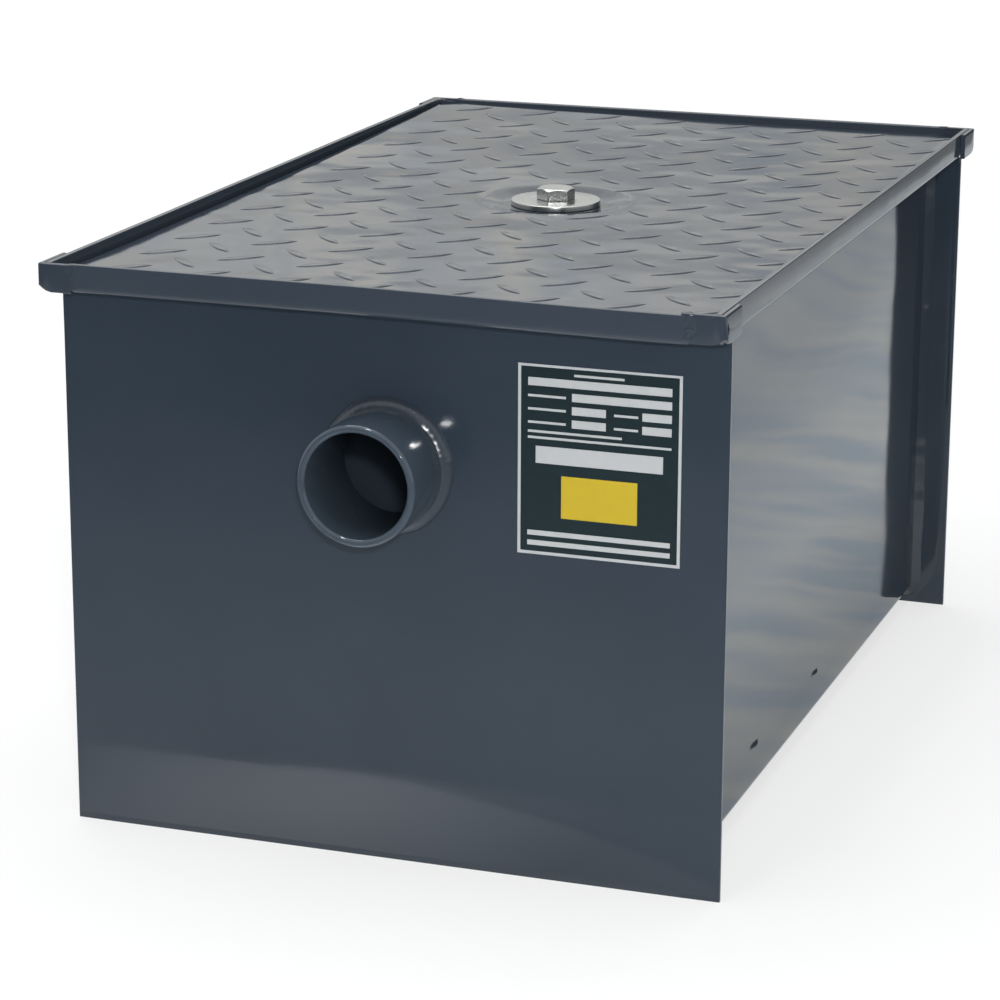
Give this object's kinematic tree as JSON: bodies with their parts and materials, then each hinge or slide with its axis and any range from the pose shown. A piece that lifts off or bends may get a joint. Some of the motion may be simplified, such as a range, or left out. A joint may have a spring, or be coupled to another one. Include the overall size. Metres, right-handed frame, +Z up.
{
  "type": "grease trap",
  "caption": "Under-sink grease trap: welded steel tank on end panels, pipe stubs at both ends, inner baffles and a tread-plate lid held by a central bolt.",
  "frame": {"origin": "on the floor, under the middle of the tank", "axes": "+Z up, +Y along the tank from the inlet to the outlet, +X to the right as seen from the inlet end"},
  "size_m": [0.35, 0.601, 0.2971],
  "materials": {
    "enamel": "gloss slate-grey enamel",
    "enamel_lid": "gloss slate-grey enamel on tread plate",
    "zinc": "bright zinc plate",
    "rubber": "matt black rubber"
  },
  "bodies": {
    "tank": {"tank_shell": "enamel", "inlet_panel": "enamel", "outlet_panel": "enamel", "inlet_pipe": "enamel", "outlet_pipe": "enamel", "rim_front": "enamel", "rim_rear": "enamel", "rim_left": "enamel", "rim_right": "enamel", "rim_corner_fl": "enamel", "rim_corner_fr": "enamel", "rim_corner_rl": "enamel", "rim_corner_rr": "enamel", "bridge_bar": "enamel", "bridge_nut": "zinc", "lid_gasket": "rubber", "inlet_baffle": "enamel", "outlet_baffle": "enamel", "inlet_guide_left": "enamel", "inlet_guide_right": "enamel", "outlet_guide_left": "enamel", "outlet_guide_right": "enamel"},
    "cover": {"lid": "enamel_lid"},
    "washer": {"bolt_washer": "zinc", "bolt_seal": "rubber"},
    "bolt": {"lid_bolt": "zinc"}
  },
  "joints": [
    {"name": "lid_lift", "type": "slide", "parent": "tank", "child": "cover", "axis": [0, 0, 1], "range_m": [0, 0.16]},
    {"name": "bolt_rise", "type": "slide", "parent": "cover", "child": "washer", "axis": [0, 0, 1], "range_m": [0, 0.0279]},
    {"name": "bolt_turn", "type": "hinge", "parent": "washer", "child": "bolt", "pos_m": [0, 0, 0.27], "axis": [0, 0, 1], "range_deg": [0, 5141]}
  ],
  "couplings": [
    {"joint": "bolt_turn", "follows": "bolt_rise", "rad_per_m": 3215.8}
  ]
}
